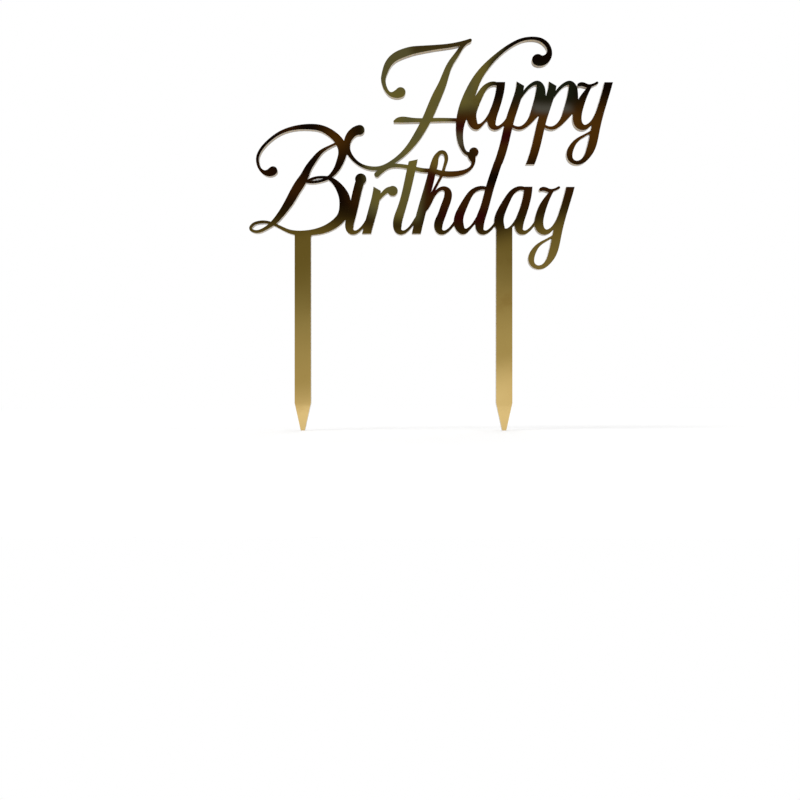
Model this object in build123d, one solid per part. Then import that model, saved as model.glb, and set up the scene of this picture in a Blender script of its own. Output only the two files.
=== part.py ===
from build123d import *
import os

# Cake topper: a two-line greeting in a joined script, cut from gold mirror acrylic and held over
# the cake by two flat pointed stakes. Every letter is a piece of its own. Where two letters meet,
# one is cut to the outline of the other, so that they butt together edge to edge, and a thin
# backing runs across all the joints behind them.
# X is across, Z is up and the front faces -Y. The origin lies midway between the stakes, in the
# middle of the sheet, at the height of the cake's surface.

# Driving dimensions, in millimetres
SHEET = 2.8  # mirror acrylic, front to back
BACKING = 0.2  # protective backing behind it
X_HEIGHT = 19.2  # a small letter without its tail or ascender
LINE_SPACE = 8.62  # from the ascender of the lower h up to the upper baseline
TAIL = 14.1  # free tail of a p, below its baseline
STEM = 3.55  # pen stroke at full pressure
HAIR = 1.05  # pen stroke at no pressure, about the thinnest that can be cut
STAKE_WIDTH = 6.5
STAKE_SPACING = 80.64  # between the stakes' centre lines
STAKE_FILLET = 1.6  # at the top of the left stake, on its inner side
STAKE_REACH = 3.4  # how far a stake's blank rises above the baseline before it is cut
CLEARANCE = 33.7  # from the cake's surface up to the lower baseline
DEPTH = 45.0  # from the cake's surface down to the stakes' points
TIP_LENGTH = 11.0  # tapered end of a stake
TIP_WIDTH = 1.6  # blunt end of the taper

# The letters are drawn on a square grid, twelve squares to the x-height, with the baseline at 0.
# A point of a stroke is (across, up, pressure), with pressure 0 for a hairline and 1 for a stem.
SQUARE = X_HEIGHT / 12
LINE_GAP = 20.8 * SQUARE + LINE_SPACE  # from the lower baseline up to the upper one
LINES = LINE_GAP / SQUARE
SAMPLES_PER_POINT = 4  # places along a stroke at which its width is set, for each point
LEAST_STEP = 0.05  # squares that the edge of a stroke moves on from one such place to the next
LEVEL, RISING, SLOPING = 0, 12, -30  # slopes, in degrees, of a stroke's end that is cut straight

THICKNESS = SHEET + BACKING
SHEET_PLANE = Plane.XZ.offset(BACKING - THICKNESS / 2)  # back of the acrylic
BACK_PLANE = Plane.XZ.offset(-THICKNESS / 2)  # back of the backing


def pen_width(pressure):
    return HAIR + pressure * (STEM - HAIR)


def stroke(*points, start=None, end=None):
    """A pen stroke through the points. An end is round, or cut straight at a slope in degrees."""
    path = Spline(*[Vector(*point) * SQUARE for point in points])
    last = SAMPLES_PER_POINT * (len(points) - 1)
    left, right = [], []
    for step in range(last + 1):
        at, along = path @ (step / last), path % (step / last)
        along = Vector(along.X, along.Y).normalized()
        normal = Vector(-along.Y, along.X)
        across = normal * (pen_width(at.Z / SQUARE) / 2)
        cut = {0: start, last: end}.get(step)
        if cut is not None:
            slope = Vector(1, 0).rotate(Axis.Z, cut)
            across = slope * (across.length / slope.dot(normal))
        centre = Vector(at.X, at.Y)
        for side, edge in ((left, centre + across), (right, centre - across)):
            # Inside a tight turn the edge of a broad stroke would double back, so it skips ahead.
            while step == last and (edge - side[-1]).dot(along) < LEAST_STEP * SQUARE:
                side.pop()
            if not side or (edge - side[-1]).dot(along) > LEAST_STEP * SQUARE:
                side.append(edge)
    first_cap = end_cap(left[0], right[0], (path % 0) * -1, start)
    last_cap = end_cap(left[-1], right[-1], path % 1, end)
    return make_face([Spline(*left), Spline(*right), first_cap, last_cap])


def end_cap(here, there, way, cut):
    """The edge that closes a stroke between its two sides."""
    if cut is not None:
        return Line(here, there)
    tip = Vector(way.X, way.Y).normalized() * ((here - there).length / 2)
    return ThreePointArc(here, (here + there) / 2 + tip, there)


def ball(across, up, pressure):
    """The round drop of ink at the end of a flourish."""
    return Pos(across * SQUARE, up * SQUARE) * Circle(pen_width(pressure) / 2)


def foot(x):
    """The turn at the foot of a stem that comes down at x, and the hairline that leaves it."""
    return [
        (x, 2.0, 0.95),
        (x + 0.35, 0.75, 0.65),
        (x + 1.3, 0.35, 0.25),
        (x + 2.5, 0.95, 0.05),
        (x + 3.7, 2.3, 0),
        (x + 4.9, 4.2, 0),
    ]


def bowl(stem_at):
    """The round of a and d, which leaves the stem at the top and comes back to it below."""
    return stroke(
        (stem_at, 11.1, 0.1),
        (6.3, 11.4, 0.25),
        (4.8, 10.6, 0.4),
        (3.3, 8.5, 0.65),
        (2.05, 6.05, 0.9),
        (1.25, 3.55, 1.1),
        (1.6, 1.55, 1.0),
        (2.5, 0.6, 0.55),
        (3.75, 1.2, 0.1),
        (5.0, 2.55, 0),
        (6.4, 4.7, 0),
    )


def letter_a():
    stem = stroke(
        (8.6, 11.8, 0.9),
        (8.4, 9.8, 0.9),
        (7.85, 7.4, 0.9),
        (7.0, 4.8, 0.95),
        *foot(6.25),
        start=LEVEL,
    )
    return [bowl(8.0), stem]


def letter_d():
    """A d whose ascender runs up into the tail of the p above it."""
    stem = stroke(
        (11.55, LINES - 7.2, 0.8),
        (10.35, 15.5, 0.9),
        (8.9, 10.9, 0.9),
        (7.5, 5.9, 0.95),
        *foot(6.5),
        start=LEVEL,
    )
    return [bowl(8.8), stem]


def letter_p(tail_end):
    """A p whose tail is cut level at that height."""
    stem = stroke(
        (3.15, 11.4, 0.85),
        (2.9, 9.7, 0.85),
        (2.2, 7.3, 0.9),
        (0.55, 2.3, 0.95),
        (-0.7, -2.95, 0.95),
        (-2.5, tail_end, 0.9),
        start=SLOPING,
        end=LEVEL,
    )
    round_side = stroke(
        (2.0, 6.3, 0),
        (3.4, 8.3, 0.05),
        (4.75, 10.05, 0.1),
        (6.1, 11.2, 0.15),
        (7.4, 11.55, 0.35),
        (8.1, 10.65, 0.85),
        (8.2, 9.05, 1.2),
        (7.95, 6.8, 1.5),
        (7.05, 4.55, 1.2),
        (5.9, 2.6, 0.6),
        (4.6, 1.1, 0.3),
        (3.1, 0.3, 0.15),
        (1.75, 0.5, 0.05),
        (0.6, 1.4, 0.05),
    )
    return [stem, round_side]


def letter_y():
    ear = stroke((1.6, 11.1, 0.15), (2.4, 11.25, 0.25), (3.75, 10.85, 0.15), (5.1, 11.1, 0), (6.1, 11.6, 0))
    cup = stroke(
        (4.4, 10.75, 0.1),
        (3.2, 8.9, 0.45),
        (2.15, 6.9, 0.8),
        (1.4, 4.7, 0.95),
        (1.1, 2.7, 1),
        (1.6, 1.1, 0.85),
        (2.9, 0.45, 0.45),
        (4.25, 1.2, 0.15),
        (5.5, 2.9, 0.05),
        (6.5, 5.05, 0.05),
    )
    stem = stroke(
        (9.0, 11.75, 0.9),
        (8.5, 9.8, 0.85),
        (7.0, 4.8, 0.85),
        (5.65, -0.2, 1),
        (5.15, -2.7, 1),
        (4.4, -5.2, 0.85),
        (3.4, -7.0, 0.5),
        (2.1, -8.15, 0.3),
        (0.7, -8.35, 0.2),
        start=LEVEL,
    )
    hook = stroke(
        (2.1, -8.15, 0.3),
        (0.7, -8.35, 0.2),
        (-0.45, -7.6, 0.35),
        (-0.8, -6.1, 0.55),
        (-0.25, -4.45, 0.45),
        (0.8, -3.0, 0.2),
        (2.4, -1.85, 0),
        (4.8, -0.5, 0),
    )
    return [ear, cup, stem, hook]


def letter_i():
    stem = stroke((3.9, 13.4, 1), (3.2, 10.9, 1), (2.4, 7.4, 1), (1.6, 4.15, 1), *foot(1.15))
    return [ball(4.0, 13.7, 1.4), stem]


def letter_r():
    stem = stroke(
        (4.0, 11.3, 0.8),
        (3.75, 9.4, 0.9),
        (3.2, 6.9, 1),
        (1.9, 2.15, 1),
        (1.35, 0, 1),
        start=SLOPING,
        end=LEVEL,
    )
    arm = stroke((3.0, 5.9, 0), (4.1, 8.3, 0.1), (5.4, 9.95, 0.25), (6.6, 10.9, 0.45), (7.9, 11.0, 0.7))
    return [stem, arm, ball(7.9, 10.75, 1.2)]


def letter_t():
    """A t with the left half of the stroke that crosses it and the h."""
    stem = stroke(
        (5.1, 18.4, 0.9),
        (4.7, 16.65, 0.95),
        (4.0, 13.4, 0.95),
        (2.0, 5.9, 0.95),
        *foot(1.1),
        start=RISING,
    )
    cross_stroke = stroke(
        (-4.0, 14.85, 0.45),
        (-2.75, 15.95, 0.4),
        (-1.0, 16.95, 0.35),
        (1.0, 17.1, 0.2),
        (3.25, 16.85, 0.2),
        (6.5, 16.1, 0.25),
        (9.25, 15.85, 0.25),
    )
    return [stem, cross_stroke]


def letter_h():
    """An h with the right half of the cross stroke, which curls up to the capital above."""
    stem = stroke(
        (7.1, 20.35, 0.2),
        (6.2, 19.4, 0.4),
        (5.65, 17.65, 0.75),
        (5.05, 15.4, 0.8),
        (4.5, 13.15, 0.85),
        (3.9, 10.9, 0.9),
        (2.45, 5.65, 1),
        (1.1, 0, 1),
        end=LEVEL,
    )
    loop = stroke(
        (6.9, 20.3, 0.2),
        (8.1, 20.25, 0.2),
        (8.6, 19.15, 0.2),
        (8.25, 17.15, 0.1),
        (7.5, 14.8, 0.05),
        (6.5, 12.8, 0),
        (5.4, 10.7, 0.05),
        (4.3, 8.5, 0.3),
    )
    arch = stroke(
        (3.3, 6.0, 0.2),
        (4.55, 8.05, 0.25),
        (5.6, 9.8, 0.1),
        (6.7, 11.0, 0.15),
        (7.9, 11.4, 0.25),
        (8.9, 10.7, 0.65),
        (9.0, 9.15, 0.85),
        (8.25, 6.9, 0.9),
        (7.4, 4.55, 0.9),
        *foot(6.6),
    )
    cross_stroke = stroke(
        (5.5, 15.8, 0.3),
        (8.0, 15.05, 0.5),
        (10.0, 14.95, 0.5),
        (12.0, 15.2, 0.4),
        (13.9, 15.9, 0.2),
        (15.0, 16.9, 0.1),
        (15.35, 17.9, 0.25),
        (15.1, 19.0, 0.7),
        (14.9, 20.0, 0.9),
    )
    return [stem, loop, arch, cross_stroke]


def capital_b():
    swash_and_upper_round = stroke(
        (5.75, 15.8, 1),
        (4.7, 15.3, 0.8),
        (3.55, 15.4, 0.3),
        (2.6, 16.15, 0.05),
        (2.0, 17.5, 0.05),
        (1.9, 19.15, 0.05),
        (2.6, 20.9, 0.05),
        (4.6, 23.2, 0.05),
        (7.25, 25.15, 0.1),
        (10.0, 26.25, 0.2),
        (12.5, 26.7, 0.35),
        (15.0, 26.8, 0.5),
        (17.5, 26.5, 0.6),
        (19.75, 25.5, 0.75),
        (21.6, 24.0, 0.9),
        (22.85, 22.15, 1),
        (23.15, 20.4, 0.95),
        (22.65, 18.4, 0.8),
        (21.75, 16.4, 0.55),
        (20.6, 14.9, 0.3),
        (19.6, 14.0, 0.15),
    )
    waist_above = stroke((19.7, 14.0, 0.1), (18.0, 14.2, 0), (16.25, 14.0, 0), (14.3, 13.1, 0))
    waist_below = stroke((14.0, 13.1, 0), (16.1, 12.95, 0), (17.75, 13.25, 0), (19.6, 13.95, 0.1))
    lower_round = stroke(
        (19.5, 14.1, 0.15),
        (21.25, 12.9, 0.5),
        (22.65, 11.15, 0.95),
        (23.65, 8.9, 1.35),
        (23.75, 6.65, 1.4),
        (23.05, 4.5, 1.15),
        (21.6, 2.85, 1),
        (19.6, 1.55, 0.85),
        (17.25, 0.7, 0.65),
        (14.75, 0.3, 0.45),
        (12.25, 0.2, 0.35),
        (9.75, 0.65, 0.2),
        (6.0, 2.4, 0.05),
        (4.0, 2.95, 0.05),
        (2.0, 2.85, 0.05),
    )
    stem_and_loop = stroke(
        (21.8, 22.75, 0),
        (19.6, 21.7, 0),
        (17.9, 20.65, 0.2),
        (16.0, 18.5, 0.5),
        (14.5, 16.3, 0.7),
        (13.55, 14.3, 0.95),
        (12.45, 12.5, 1.15),
        (11.3, 10.65, 1.1),
        (10.05, 8.4, 1),
        (8.5, 6.0, 0.75),
        (6.9, 3.9, 0.55),
        (5.25, 2.3, 0.3),
        (4.25, 1.6, 0.15),
        (2.75, 0.8, 0.1),
        (1.0, 0.65, 0.05),
        (0.15, 1.3, 0.05),
        (0.6, 2.2, 0.05),
        (2.0, 2.85, 0.05),
        (3.2, 2.95, 0.05),
    )
    return [swash_and_upper_round, waist_above, waist_below, lower_round, stem_and_loop]


def capital_h():
    """The tall capital. Its feet reach down to the lower line and are set out from that."""
    head = stroke(
        (5.2, 9.2, 1.1),
        (3.75, 8.7, 0.75),
        (2.5, 8.85, 0.2),
        (1.6, 9.8, 0.15),
        (1.0, 11.3, 0.25),
        (0.85, 12.6, 0.35),
        (1.1, 13.8, 0.45),
        (1.6, 15.3, 0.6),
        (2.5, 16.9, 0.75),
        (4.0, 18.2, 0.9),
        (6.0, 19.1, 0.95),
        (8.0, 19.7, 0.85),
        (10.25, 20.05, 0.65),
        (14.0, 20.5, 0.35),
        (17.75, 20.95, 0.25),
        (20.5, 21.55, 0.2),
        (22.6, 22.25, 0.1),
    )
    left_stem = stroke(
        (22.5, 22.15, 0.1),
        (20.9, 21.05, 0.15),
        (19.3, 18.8, 0.35),
        (17.6, 16.3, 0.5),
        (16.45, 13.55, 0.7),
        (15.55, 11.05, 0.9),
        (14.4, 8.55, 1.1),
        (12.25, 3.55, 1.1),
        (11.0, 1.05, 1),
        (9.5, 24.65 - LINES, 0.9),
        (7.75, 22.15 - LINES, 0.65),
        (5.4, 19.65 - LINES, 0.4),
        (2.75, 17.7 - LINES, 0.25),
        (0.0, 16.5 - LINES, 0.2),
        (-2.5, 16.45 - LINES, 0.2),
        (-5.0, 17.35 - LINES, 0.1),
        (-6.9, 19.0 - LINES, 0.2),
        (-8.0, 20.9 - LINES, 0.4),
        (-8.2, 22.65 - LINES, 0.65),
        (-7.65, 24.25 - LINES, 0.85),
        (-6.5, 25.5 - LINES, 1),
        (-5.1, 26.0 - LINES, 1.2),
    )
    right_stem = stroke(
        (39.5, 17.35, 1.45),
        (41.0, 17.3, 1.15),
        (42.2, 18.4, 0.65),
        (42.4, 19.8, 0.35),
        (41.75, 21.2, 0.3),
        (40.25, 22.35, 0.2),
        (38.0, 22.75, 0.1),
        (35.75, 22.45, 0.1),
        (33.0, 21.2, 0.15),
        (30.5, 19.45, 0.25),
        (28.5, 17.7, 0.4),
        (26.5, 15.6, 0.65),
        (24.75, 13.3, 0.9),
        (23.4, 10.8, 1.2),
        (22.25, 8.05, 1.45),
        (21.2, 5.3, 1.45),
        (20.35, 2.55, 1.15),
        (19.95, -0.2, 0.8),
        (20.1, 23.4 - LINES, 0.55),
        (20.6, 21.65 - LINES, 0.3),
        (21.5, 20.3 - LINES, 0.15),
        (22.6, 20.0 - LINES, 0.3),
    )
    crossbar = stroke(
        (3.7, 1.95, 0),
        (4.7, 2.3, 0.45),
        (7.5, 2.3, 0.4),
        (14.0, 2.35, 0.2),
        (20.0, 2.3, 0.15),
    )
    return [head, left_stem, right_stem, crossbar, ball(5.15, 9.25, 1.2), ball(23.5, 20.45 - LINES, 1.1)]


def stake(inner_fillet=0):
    """A flat stake down the middle of the sketch, with its tapered end."""
    half, tip = STAKE_WIDTH / 2, TIP_WIDTH / 2
    top, shoulder = CLEARANCE + STAKE_REACH, TIP_LENGTH - DEPTH
    edges = Polyline(
        (half, CLEARANCE - inner_fillet),
        (half, shoulder),
        (tip, -DEPTH),
        (-tip, -DEPTH),
        (-half, shoulder),
        (-half, top),
        (half + inner_fillet, top),
        (half + inner_fillet, CLEARANCE),
    ).edges()
    if inner_fillet:
        above, below = (half + inner_fillet, CLEARANCE), (half, CLEARANCE - inner_fillet)
        edges.append(RadiusArc(above, below, -inner_fillet))
    return make_face(edges)


def letter(strokes, squares_across, stems_across, baseline):
    """The strokes of one letter, fused and set on their line, that many squares and stems across.

    Letters whose broad strokes touch are a stem further apart, so that they touch at any width of pen.
    """
    whole = strokes[0]
    for face in strokes[1:]:
        whole = whole + face
    return Pos(squares_across * SQUARE + stems_across * STEM, baseline) * whole


LOWER_LINE = CLEARANCE
UPPER_LINE = CLEARANCE + LINE_GAP
TAIL_END = -TAIL / SQUARE
JOINED_TAIL_END = 17.5 - LINES  # where the other tail meets the d

# Each piece is cut to the outlines of the pieces before it in this list.
OUTLINES = {
    "capital_h": letter(capital_h(), -5.9, 0, UPPER_LINE),
    "upper_y": letter(letter_y(), 35.68, 3, UPPER_LINE),
    "upper_second_p": letter(letter_p(TAIL_END), 29.74, 2, UPPER_LINE),
    "upper_first_p": letter(letter_p(JOINED_TAIL_END), 23.88, 1, UPPER_LINE),
    "upper_a": letter(letter_a(), 13.58, 1, UPPER_LINE),
    "lower_y": letter(letter_y(), 30.55, 1, LOWER_LINE),
    "lower_a": letter(letter_a(), 20.41, 1, LOWER_LINE),
    "lower_d": letter(letter_d(), 10.31, 1, LOWER_LINE),
    "lower_h": letter(letter_h(), 2.1, 0, LOWER_LINE),
    "lower_t": letter(letter_t(), -2.65, 0, LOWER_LINE),
    "lower_r": letter(letter_r(), -10.6, 0, LOWER_LINE),
    "lower_i": letter(letter_i(), -14.7, 0, LOWER_LINE),
    "capital_b": letter(capital_b(), -36.18, -1, LOWER_LINE),
    "left_stake": Pos(-STAKE_SPACING / 2) * stake(STAKE_FILLET),
    "right_stake": Pos(STAKE_SPACING / 2) * stake(),
}


def main():
    os.makedirs("parts", exist_ok=True)
    whole = None
    for name, outline in OUTLINES.items():
        cut = outline if whole is None else outline - whole
        face = max(cut.faces(), key=lambda face: face.area)
        export_step(extrude(SHEET_PLANE * face, amount=SHEET), f"parts/{name}.step")
        whole = face if whole is None else whole + face
    export_step(extrude(BACK_PLANE * whole, amount=BACKING), "parts/mirror_backing.step")


if __name__ == "__main__":
    main()
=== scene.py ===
"""Looks of a cake topper: script lettering and two stakes in gold mirror acrylic with a painted back."""
import math

import bpy
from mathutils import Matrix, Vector

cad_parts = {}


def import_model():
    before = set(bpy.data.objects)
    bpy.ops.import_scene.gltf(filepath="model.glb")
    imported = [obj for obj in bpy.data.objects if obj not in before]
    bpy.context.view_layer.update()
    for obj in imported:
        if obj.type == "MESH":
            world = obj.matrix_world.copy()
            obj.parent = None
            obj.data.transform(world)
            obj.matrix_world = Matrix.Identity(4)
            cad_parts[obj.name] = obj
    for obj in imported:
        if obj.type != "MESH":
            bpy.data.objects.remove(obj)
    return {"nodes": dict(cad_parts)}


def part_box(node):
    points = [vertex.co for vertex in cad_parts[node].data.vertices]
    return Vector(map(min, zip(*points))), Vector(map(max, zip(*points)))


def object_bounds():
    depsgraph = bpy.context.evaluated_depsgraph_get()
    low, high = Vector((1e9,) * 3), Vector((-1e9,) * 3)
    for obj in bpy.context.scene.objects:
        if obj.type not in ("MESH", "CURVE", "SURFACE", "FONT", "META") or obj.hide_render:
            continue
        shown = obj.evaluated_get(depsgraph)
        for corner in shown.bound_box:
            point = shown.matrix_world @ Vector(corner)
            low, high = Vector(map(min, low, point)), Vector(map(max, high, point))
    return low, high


# Camera: level and below the lettering, its place in metres, its lens and sensor in millimetres
CAMERA_PLACE = (-0.0014, -0.4515, -0.0328)
CAMERA_LENS = 50.6
SENSOR_WIDTH = 36.0

# Lamps: name, place in metres and power in watts
LAMPS = (
    ("key", (-1.3, -1.2, 2.2), 22.0),
    ("fill", (1.9, -0.7, 1.6), 10.0),
    ("back", (0.4, 2.2, 1.8), 14.0),
)
LAMP_SIZE = 1.4
LAMP_AIM = (0, 0, 0.05)
SKY_LIGHT = 0.7  # what the white surroundings give the object, of the 1 at which they are seen

# Clouds: size in metres, detail and roughness
RIPPLE = (0.042, 1.5, 0.5)
SCORE_LINE = (0.001, 1.0, 0.4)
ROLLER_STREAK = (0.0014, 3.0, 0.6)
PAINT_PEEL = (0.0007, 2.0, 0.5)
FLOOR_GRAIN = (0.0033, 2.0, 0.5)
OUTLINE_SWAY = (0.14, 2.0, 0.5)
CLOUD_MIDDLE = 0.5

# Marks: the same, then the level above which a cloud leaves a mark, and the softness of its edge
SMUDGE = (0.013, 5.0, 0.62, 0.63, 0.11)
TONE_DRIFT = (0.050, 2.0, 0.5, 0.5, 0.15)
SPECK = (0.0004, 1.0, 0.5, 0.76, 0.04)
FINE_LINE = (0.0004, 2.0, 0.6, 0.55, 0.15)
RUBBED_PATCH = (0.018, 6.0, 0.65, 0.61, 0.09)
SCRATCHED_PATCH = (0.011, 2.0, 0.5, 0.55, 0.05)
SCRATCH = (0.0009, 1.0, 0.5, 0.68, 0.02)
GLOOM_PATCH = (0.09, 1.0, 0.5, 0.66, 0.10)
PANE_PATCH = (0.08, 2.0, 0.5, 0.5, 0.12)

# Sheet: refraction, depth of its relief in metres, and how far a face has to turn to be the mirror side
ACRYLIC_IOR = 1.49
SHEET_RELIEF = 0.000025
MIRROR_TURN = -0.7
MIRROR_SOFT = 0.1

# Mirror side: linear colours, and what each mark adds to the tint, the roughness and the relief
GOLD = (0.74, 0.545, 0.215, 1)
DEEP_GOLD = (0.60, 0.40, 0.13, 1)
SMUDGE_TINT = 0.5
DRIFT_TINT = 0.5
MIRROR_ROUGH = 0.03
SMUDGE_ROUGH = 0.03
SPECK_ROUGH = 0.05
RIPPLE_HEIGHT = 3.0
CLEAR_COAT = 0.6
CLEAR_COAT_ROUGH = 0.03

# Wall that the cutter leaves: colours by depth, from 0 at the front of the sheet to 1 at its back
# The amber is the acrylic's own. The paler front colour is painted light, and the darker colours towards the
# back are painted shade
AMBER_FRONT_PAINTED_LIGHT = (0.40, 0.275, 0.08, 1)
AMBER_EDGE = (0.33, 0.205, 0.045, 1)
DARK_EDGE = (0.21, 0.125, 0.025, 1)
# Near black: painted shade in the fine and scored lines, and the dark joint with the paint at the very back
PAINTED_SHADE_AND_JOINT = (0.05, 0.029, 0.009, 1)
WALL_TINT_AND_PAINTED_LIGHT = ((0.0, AMBER_FRONT_PAINTED_LIGHT), (0.55, AMBER_EDGE), (0.92, DARK_EDGE), (0.99, PAINTED_SHADE_AND_JOINT))
ACROSS_THE_WALL = (1.0, 0.03, 1.0)  # draws lines from front to back
SCORE_WIDTH = 0.0325
SCORE_SOFT = 0.0175
# The fine lines pull the darker colours of the wall forward, which adds painted shade
FINE_SHIFT = 0.12  # how far a fine line pulls the layers forward
# How far the fine and scored lines are darkened: painted shade on lines whose relief comes from the bump
FINE_LINE_SHADE = 0.12
SCORE_LINE_SHADE = 0.3
WALL_ROUGH = 0.08
FINE_ROUGH = 0.04
SCORE_ROUGH = 0.10
FINE_HEIGHT = 0.4

# Paint on the back
COAT_GREY = (0.27, 0.25, 0.215, 1)
COAT_WORN = (0.50, 0.47, 0.41, 1)
DOWN_THE_BACK = (1.0, 1.0, 0.05)
ALONG_THE_BACK = (0.15, 1.0, 1.0)
RUBBED_TINT = 0.4
STREAK_TINT = 0.5
SCRATCH_TINT = 0.5
PAINT_ROUGH = 0.40
PEEL_ROUGH = 0.15
RUBBED_SHINE = 0.1
STREAK_HEIGHT = 0.5
PAINT_STRENGTH = 0.8
PAINT_RELIEF = 0.00003

# Floor
WHITE = (1, 1, 1, 1)
FLOOR_WIDTH = 3.0
FLOOR_WHITE = (0.86, 0.86, 0.86, 1)
FLOOR_LIFT = 0.1
FLOOR_STRENGTH = 0.05
FLOOR_RELIEF = 0.0005
FLOOR_FADE = 0.85  # how far out it has half turned to plain white
FLOOR_FADE_SOFT = 0.35

# Dim end of the studio, which the mirror looks at from behind the camera
SCREEN_Y = -1.6
SCREEN_WIDTH = 6.0
SCREEN_HEIGHT = 1.5
SWAY = 0.04  # how far the outlines there wander
NIGHT = (0.006, 0.004, 0.004, 1)
DIM_BROWN = (0.045, 0.020, 0.008, 1)
WARM_BROWN = (0.085, 0.043, 0.012, 1)
DEEP_RED = (0.035, 0.003, 0.008, 1)
GREEN_BLACK = (0.014, 0.022, 0.024, 1)
DUSK_GREY = (0.095, 0.105, 0.140, 1)
LAMP_GREY = (0.110, 0.150, 0.290, 1)
WINDOW_GREY = (0.120, 0.145, 0.125, 1)
WINDOW_OLIVE = (0.175, 0.190, 0.095, 1)
LINTEL_BROWN = (0.056, 0.050, 0.032, 1)
SILL_BROWN = (0.030, 0.022, 0.010, 1)
LOW_OLIVE = (0.165, 0.150, 0.065, 1)
LOW_GOLD = (0.310, 0.300, 0.190, 1)
CREAM = (0.520, 0.500, 0.360, 1)
PALE = (0.920, 0.910, 0.860, 1)

# What stands there: colour, left, right, bottom, top and softness of the edges
DIM_THINGS = (
    (WARM_BROWN, 0.09, 1.50, 0.41, 0.50, 0.03),
    (GREEN_BLACK, 0.20, 0.32, 0.51, 1.50, 0.02),
    (NIGHT, 0.18, 0.40, 0.565, 1.50, 0.02),
    (LAMP_GREY, 0.24, 0.31, 0.492, 0.505, 0.012),
    (DEEP_RED, 0.08, 0.13, 0.455, 0.485, 0.015),
    (DEEP_RED, 0.16, 0.22, 0.430, 0.462, 0.012),
    (DIM_BROWN, 0.03, 0.185, 0.31, 0.42, 0.02),
    (WARM_BROWN, 0.055, 0.14, 0.365, 0.395, 0.015),
    (NIGHT, 0.13, 0.20, 0.355, 0.39, 0.015),
    (WARM_BROWN, -0.14, -0.09, 0.42, 0.47, 0.03),
    (DIM_BROWN, -0.24, -0.16, 0.33, 0.38, 0.03),
    (DIM_BROWN, 0.21, 0.40, 0.30, 0.36, 0.03),
    (LOW_OLIVE, 0.05, 0.09, 0.392, 0.425, 0.012),
    (SILL_BROWN, 0.10, 0.14, 0.405, 0.450, 0.012),
    (DUSK_GREY, 0.098, 0.120, 0.428, 0.455, 0.008),
    (DEEP_RED, 0.046, 0.066, 0.345, 0.388, 0.008),
    (DEEP_RED, 0.075, 0.165, 0.250, 0.315, 0.015),
    (DIM_BROWN, -0.092, -0.070, 0.318, 0.360, 0.020),
)

# The window there. Its right edge leans outwards above WINDOW_LEVEL, by WINDOW_LEAN for each metre up,
# it is wider above WIDE_BOTTOM, and a lintel crosses its top
WINDOW_LEFT = -0.062
WINDOW_LEFT_SOFT = 0.01
WINDOW_RIGHT = 0.038
WINDOW_RIGHT_SOFT = 0.008
WINDOW_LEVEL = 0.40
WINDOW_LEAN = 0.70
WIDE_RIGHT = 0.1665
WIDE_RIGHT_SOFT = 0.006
WIDE_BOTTOM = 0.505
WIDE_BOTTOM_SOFT = 0.015
LINTEL_BOTTOM = 0.606
LINTEL_BOTTOM_SOFT = 0.008
LINTEL_LEFT = 0.022
LINTEL_LEFT_SOFT = 0.012

# The sill, and the paler part under it. Both are lowest at DIP_X and rise for each metre to either side
SILL_TOP = 0.285
SILL_SOFT = 0.018
LOW_TOP = 0.252
LOW_SOFT = 0.026
DIP_X = 0.15
LEFT_RISE = 0.12
LEFT_LIMIT = 0.028  # the most that they rise at the left
RIGHT_RISE = 0.34

# The floor in front of the screen gets paler: colour, level and softness
FLOOR_BANDS = (
    (LOW_GOLD, 0.185, 0.075),
    (CREAM, 0.10, 0.08),
    (PALE, -0.01, 0.04),
)
FLOOR_TILT = 0.15  # how much sooner it does so for each metre to the right
SIDE_PALE = 1.55  # how far to each side the dim end gives way to white
SIDE_SOFT = 0.85


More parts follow.
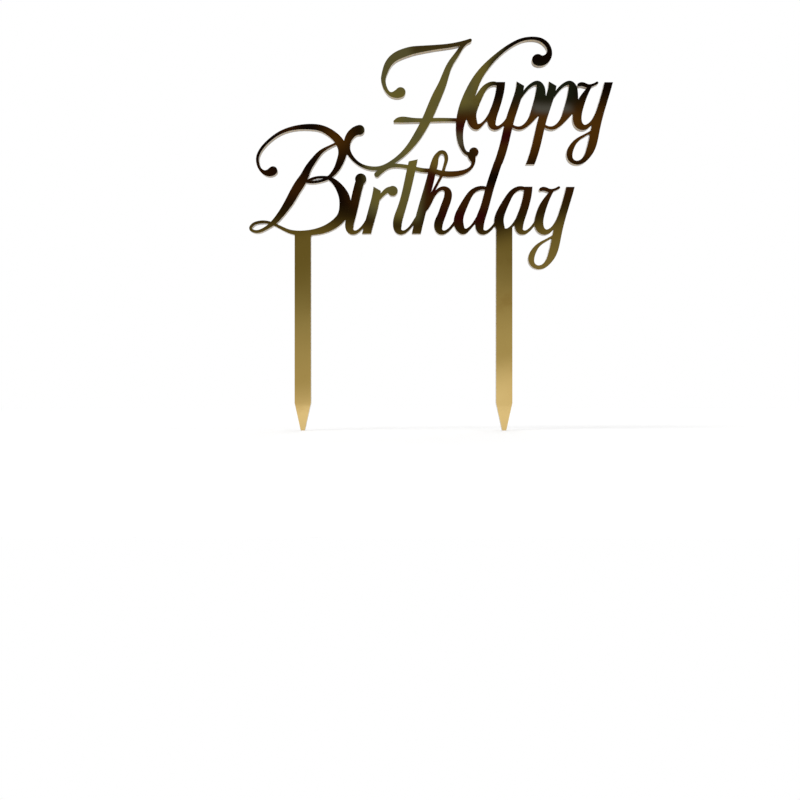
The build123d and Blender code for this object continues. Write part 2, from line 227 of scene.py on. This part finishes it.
class Shade:
    """A socket of a shader. Arithmetic on it adds Math nodes, and node() adds any other node."""

    def __init__(self, tree, socket=None):
        self.tree = tree
        self.socket = socket

    def node(self, kind, settings=None, sockets=None, out=0):
        """One of the outputs of a new node, after its settings and then its sockets are set or linked."""
        made = self.tree.nodes.new("ShaderNode" + kind)
        for name, value in (settings or {}).items():
            if name == "stops":
                ramp = made.color_ramp
                for spare in list(ramp.elements)[1:]:
                    ramp.elements.remove(spare)
                ramp.elements[0].position, ramp.elements[0].color = value[0]
                for position, colour in value[1:]:
                    ramp.elements.new(position).color = colour
            else:
                setattr(made, name, value)
        for name, value in (sockets or {}).items():
            if isinstance(value, Shade):
                self.tree.links.new(value.socket, made.inputs[name])
            else:
                made.inputs[name].default_value = value
        return Shade(self.tree, made.outputs[out])

    def maths(self, operation, *values):
        return self.node("Math", {"operation": operation}, dict(enumerate(values)))

    def __add__(self, other):
        return self.maths("ADD", self, other)

    __radd__ = __add__

    def __sub__(self, other):
        return self.maths("SUBTRACT", self, other)

    def __rsub__(self, other):
        return self.maths("SUBTRACT", other, self)

    def __mul__(self, other):
        return self.maths("MULTIPLY", self, other)

    __rmul__ = __mul__

    def __abs__(self):
        return self.maths("ABSOLUTE", self)

    def larger(self, other):
        return self.maths("MAXIMUM", self, other)

    def smaller(self, other):
        return self.maths("MINIMUM", self, other)

    def step(self, start, end):
        """0 at the start and before it, 1 at the end and past it, and smooth between them."""
        return self.node(
            "MapRange",
            {"interpolation_type": "SMOOTHSTEP"},
            {"Value": self, "From Min": start, "From Max": end},
        )

    def above(self, level, soft):
        """1 above this level and 0 below it, over a soft edge."""
        return self.step(level - soft, level + soft)

    def below(self, level, soft):
        """1 below this level and 0 above it, over a soft edge."""
        return self.step(level + soft, level - soft)

    def blend(self, first, second):
        """One colour where this is 0 and another where it is 1."""
        return self.node("Mix", {"data_type": "RGBA"}, {0: self, 6: first, 7: second}, out=2)

    def noise(self, size, detail, roughness):
        """Clouds of this size in metres, from 0 to 1 and mostly near the middle."""
        sockets = {"Vector": self, "Scale": 1 / size, "Detail": detail, "Roughness": roughness}
        return self.node("TexNoise", None, sockets)

    def marks(self, size, detail, roughness, level, soft):
        """1 where such clouds rise above this level."""
        return self.noise(size, detail, roughness).above(level, soft)

    def part(self, axis):
        """One coordinate of a place or a normal."""
        return self.node("SeparateXYZ", None, {"Vector": self}, out=axis)

    def stretched(self, scale):
        """The place scaled along each axis, so that clouds on it are drawn out where the scale is small."""
        return self.node("VectorMath", {"operation": "MULTIPLY"}, {0: self, 1: scale})


def new_material(name):
    """An empty material and a Shade to make its nodes with."""
    material = bpy.data.materials.new(name)
    material.use_nodes = True
    material.node_tree.nodes.clear()
    return material, Shade(material.node_tree)


def link_output(shade, surface, kind="Material"):
    """Makes this surface the one that a material or the world shows."""
    output = shade.tree.nodes.new("ShaderNodeOutput" + kind)
    shade.tree.links.new(surface.socket, output.inputs["Surface"])


def gold_mirror_acrylic(front_y, thickness):
    """Mirror on the front face, and the glossy amber wall that the cutter leaves round it, with painted light
    and painted shade on the wall.
    """
    material, shade = new_material("gold_mirror_acrylic")
    place = shade.node("TexCoord", out="Object")
    face = shade.node("TexCoord", out="Normal").part("Y").below(MIRROR_TURN, MIRROR_SOFT)

    smudge = place.marks(*SMUDGE)
    drift = place.marks(*TONE_DRIFT)
    speck = place.marks(*SPECK)
    mirror_colour = (smudge * SMUDGE_TINT + drift * DRIFT_TINT).blend(GOLD, DEEP_GOLD)
    mirror_rough = MIRROR_ROUGH + smudge * SMUDGE_ROUGH + speck * SPECK_ROUGH

    depth = (place.part("Y") - front_y) * (1 / thickness)
    lined = place.stretched(ACROSS_THE_WALL)
    fine = lined.marks(*FINE_LINE)
    score = abs(lined.noise(*SCORE_LINE) - CLOUD_MIDDLE).below(SCORE_WIDTH, SCORE_SOFT)
    # Painted light and shade: the wall is paler towards its front and darker towards its back
    tint_and_painted_light = shade.node("ValToRGB", {"stops": WALL_TINT_AND_PAINTED_LIGHT}, {"Fac": depth + fine * FINE_SHIFT})
    # Painted shade: the fine and scored lines are darkened, and their grooves and ridges come from the bump
    wall_colour = (fine * FINE_LINE_SHADE + score * SCORE_LINE_SHADE).blend(tint_and_painted_light, PAINTED_SHADE_AND_JOINT)
    wall_rough = WALL_ROUGH + fine * FINE_ROUGH + score * SCORE_ROUGH

    mirror_height = place.noise(*RIPPLE) * RIPPLE_HEIGHT
    wall_height = fine * FINE_HEIGHT - score
    height = face * mirror_height + (1 - face) * wall_height
    bump = shade.node("Bump", None, {"Strength": 1.0, "Distance": SHEET_RELIEF, "Height": height})
    surface = shade.node(
        "BsdfPrincipled",
        None,
        {
            "Base Color": face.blend(wall_colour, mirror_colour),
            "Metallic": face,
            "Roughness": face * mirror_rough + (1 - face) * wall_rough,
            "Normal": bump,
            "IOR": ACRYLIC_IOR,
            "Coat Weight": face * CLEAR_COAT,
            "Coat Roughness": CLEAR_COAT_ROUGH,
        },
    )
    link_output(shade, surface)
    return material


def painted_back():
    """Satin protective paint, with the streaks and peel of a roller and a few rubbed and scratched places."""
    material, shade = new_material("painted_back")
    place = shade.node("TexCoord", out="Object")
    rubbed = place.marks(*RUBBED_PATCH)
    streak = place.stretched(DOWN_THE_BACK).noise(*ROLLER_STREAK)
    peel = place.noise(*PAINT_PEEL)
    scratch = place.marks(*SCRATCHED_PATCH) * place.stretched(ALONG_THE_BACK).marks(*SCRATCH)
    wear = rubbed * RUBBED_TINT + streak * STREAK_TINT + scratch * SCRATCH_TINT
    height = peel + streak * STREAK_HEIGHT - scratch
    relief = {"Strength": PAINT_STRENGTH, "Distance": PAINT_RELIEF, "Height": height}
    surface = shade.node(
        "BsdfPrincipled",
        None,
        {
            "Base Color": wear.blend(COAT_GREY, COAT_WORN),
            "Roughness": PAINT_ROUGH + peel * PEEL_ROUGH - rubbed * RUBBED_SHINE,
            "Normal": shade.node("Bump", None, relief),
        },
    )
    link_output(shade, surface)
    return material


def seen(shade):
    """1 for what the camera sees, straight, mirrored or through something clear."""
    straight = shade.node("LightPath", out="Is Camera Ray")
    mirrored = shade.node("LightPath", out="Is Glossy Ray")
    through = shade.node("LightPath", out="Is Transmission Ray")
    return straight.larger(mirrored).larger(through)


def white_strength(shade):
    """Plain white where it is seen, and SKY_LIGHT where it lights the object."""
    return SKY_LIGHT + seen(shade) * (1 - SKY_LIGHT)


def white_floor():
    """Matt white that keeps the shadow, and fades to plain white away from the object."""
    material, shade = new_material("white_floor")
    place = shade.node("TexCoord", out="Object")
    relief = {"Strength": FLOOR_STRENGTH, "Distance": FLOOR_RELIEF, "Height": place.noise(*FLOOR_GRAIN)}
    bump = shade.node("Bump", None, relief)
    matt = shade.node("BsdfDiffuse", None, {"Color": FLOOR_WHITE, "Normal": bump})
    lift = shade.node("Emission", None, {"Color": WHITE, "Strength": seen(shade) * FLOOR_LIFT})
    near = shade.node("AddShader", None, {0: matt, 1: lift})
    far = shade.node("Emission", None, {"Color": WHITE, "Strength": white_strength(shade)})
    distance = shade.node("VectorMath", {"operation": "LENGTH"}, {0: place}, out="Value")
    away = distance.above(FLOOR_FADE, FLOOR_FADE_SOFT)
    link_output(shade, shade.node("MixShader", None, {0: away, 1: near, 2: far}))
    return material


def dim_studio():
    """The unlit end of the studio, with a leaning window, a sill and a paler floor."""
    material, shade = new_material("dim_studio")
    place = shade.node("TexCoord", out="Object")
    sway = (place.noise(*OUTLINE_SWAY) - CLOUD_MIDDLE) * SWAY
    across = place.part("X") + sway
    up = place.part("Z") + sway

    colour = place.marks(*GLOOM_PATCH).blend(NIGHT, DIM_BROWN)
    for paint, left, right, bottom, top, soft in DIM_THINGS:
        beside = across.above(left, soft) * across.below(right, soft)
        within = beside * up.above(bottom, soft) * up.below(top, soft)
        colour = within.blend(colour, paint)

    leaning = across - (up - WINDOW_LEVEL).larger(0.0) * WINDOW_LEAN
    narrow = leaning.below(WINDOW_RIGHT, WINDOW_RIGHT_SOFT)
    wide = across.below(WIDE_RIGHT, WIDE_RIGHT_SOFT) * up.above(WIDE_BOTTOM, WIDE_BOTTOM_SOFT)
    window = across.above(WINDOW_LEFT, WINDOW_LEFT_SOFT) * narrow.larger(wide)
    lintel = up.above(LINTEL_BOTTOM, LINTEL_BOTTOM_SOFT) * across.above(LINTEL_LEFT, LINTEL_LEFT_SOFT)
    pane = place.marks(*PANE_PATCH).blend(WINDOW_GREY, WINDOW_OLIVE)
    colour = window.blend(colour, lintel.blend(pane, LINTEL_BROWN))

    left_rise = ((DIP_X - across) * LEFT_RISE).smaller(LEFT_LIMIT)
    low = up - left_rise.larger((across - DIP_X) * RIGHT_RISE)
    colour = low.below(SILL_TOP, SILL_SOFT).blend(colour, SILL_BROWN)
    colour = low.below(LOW_TOP, LOW_SOFT).blend(colour, LOW_OLIVE)

    tilted = up - across * FLOOR_TILT
    for paint, level, soft in FLOOR_BANDS:
        colour = tilted.below(level, soft).blend(colour, paint)
    colour = abs(across).above(SIDE_PALE, SIDE_SOFT).blend(colour, PALE)
    link_output(shade, shade.node("Emission", None, {"Color": colour, "Strength": 1.0}))
    return material


def add_plane(name, width, depth, place, turn=(0, 0, 0)):
    """A rectangle of the stage, with its place in its mesh."""
    bpy.ops.object.select_all(action="DESELECT")
    bpy.ops.mesh.primitive_plane_add(size=1, location=place, rotation=turn)
    plane = bpy.context.active_object
    plane.name = name
    plane.scale = (width, depth, 1)
    bpy.ops.object.transform_apply(location=True, rotation=True, scale=True)
    return plane


def set_stage(floor_z):
    """The floor under the points of the stakes, and the dim screen that only the mirror shows."""
    floor = add_plane("floor", FLOOR_WIDTH, FLOOR_WIDTH, (0, 0, floor_z))
    floor.data.materials.append(white_floor())
    middle = (0, SCREEN_Y, floor_z + SCREEN_HEIGHT / 2)
    screen = add_plane("dim_screen", SCREEN_WIDTH, SCREEN_HEIGHT, middle, (math.pi / 2, 0, 0))
    screen.data.materials.append(dim_studio())
    screen.visible_camera = False
    screen.visible_diffuse = False
    screen.visible_shadow = False
    screen.visible_transmission = False


def add_lamp(name, place, power):
    """A round soft lamp, turned towards the lettering."""
    data = bpy.data.lights.new(name, "AREA")
    data.shape = "DISK"
    data.size = LAMP_SIZE
    data.energy = power
    lamp = bpy.data.objects.new(name, data)
    bpy.context.scene.collection.objects.link(lamp)
    lamp.location = place
    lamp.rotation_euler = (Vector(LAMP_AIM) - Vector(place)).to_track_quat("-Z", "Y").to_euler()


def light_studio():
    """The lamps, and white surroundings."""
    for name, place, power in LAMPS:
        add_lamp(name, place, power)
    world = bpy.data.worlds.new("studio")
    bpy.context.scene.world = world
    world.use_nodes = True
    world.node_tree.nodes.clear()
    shade = Shade(world.node_tree)
    sky = shade.node("Background", None, {"Color": WHITE, "Strength": white_strength(shade)})
    link_output(shade, sky, "World")


def set_camera():
    """A level camera in front of the lettering."""
    data = bpy.data.cameras.new("camera")
    data.lens = CAMERA_LENS
    data.sensor_width = SENSOR_WIDTH
    camera = bpy.data.objects.new("camera", data)
    bpy.context.scene.collection.objects.link(camera)
    camera.location = CAMERA_PLACE
    camera.rotation_euler = (math.pi / 2, 0, 0)
    bpy.context.scene.camera = camera
    bpy.context.scene.view_settings.view_transform = "Standard"


def main():
    """Finishes every piece of the topper and sets it in the studio."""
    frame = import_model()
    cad_box = [list(corner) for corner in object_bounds()]
    front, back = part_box("capital_h")
    acrylic = gold_mirror_acrylic(front.y, back.y - front.y)
    paint = painted_back()
    for name, piece in frame["nodes"].items():
        piece.data.materials.clear()
        piece.data.materials.append(paint if name == "mirror_backing" else acrylic)
    set_stage(cad_box[0][2])
    light_studio()
    set_camera()


main()
